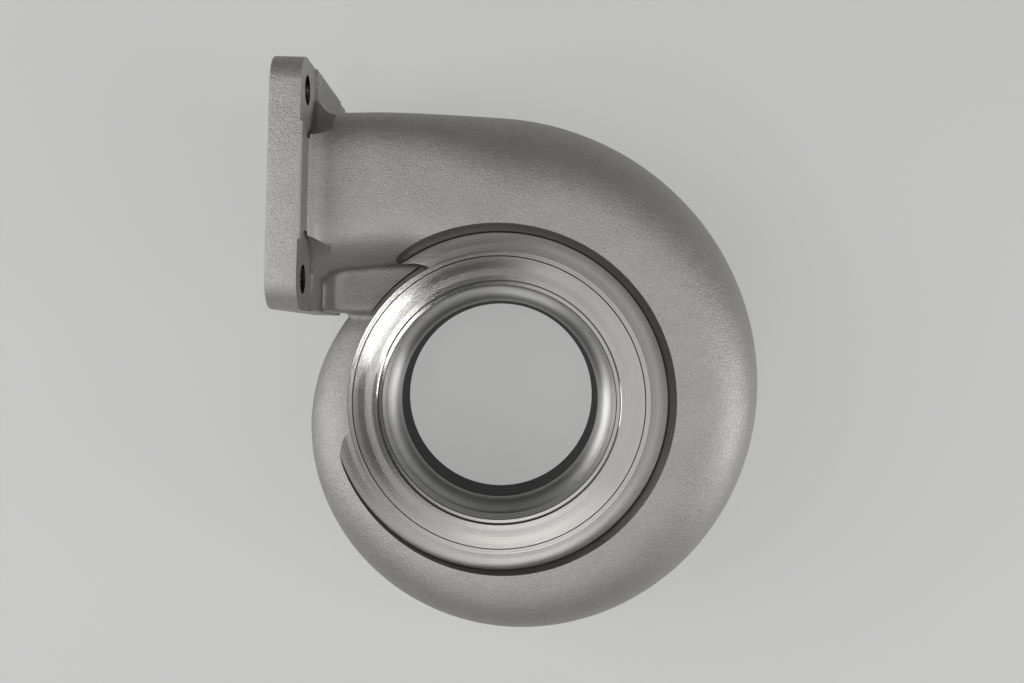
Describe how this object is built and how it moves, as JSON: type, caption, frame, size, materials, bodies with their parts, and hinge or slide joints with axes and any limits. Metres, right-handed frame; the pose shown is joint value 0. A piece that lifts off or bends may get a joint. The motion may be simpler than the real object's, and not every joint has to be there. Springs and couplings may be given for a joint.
{
  "type": "turbine housing",
  "caption": "Cast turbocharger turbine housing: spiral scroll with a rectangular bolted inlet flange, turned centre-housing clamp ring and round outlet.",
  "frame": {"origin": "on the turbine axis in the plane of the outlet face, which the part stands on", "axes": "+Z along the turbine axis towards the centre housing, -X out of the inlet flange, +Y towards the inlet duct"},
  "size_m": [0.2419, 0.2792, 0.172],
  "materials": {
    "casting": "shot-blasted casting with turned, bright seats"
  },
  "bodies": {
    "root": {"turbine_housing": "casting"}
  },
  "joints": []
}
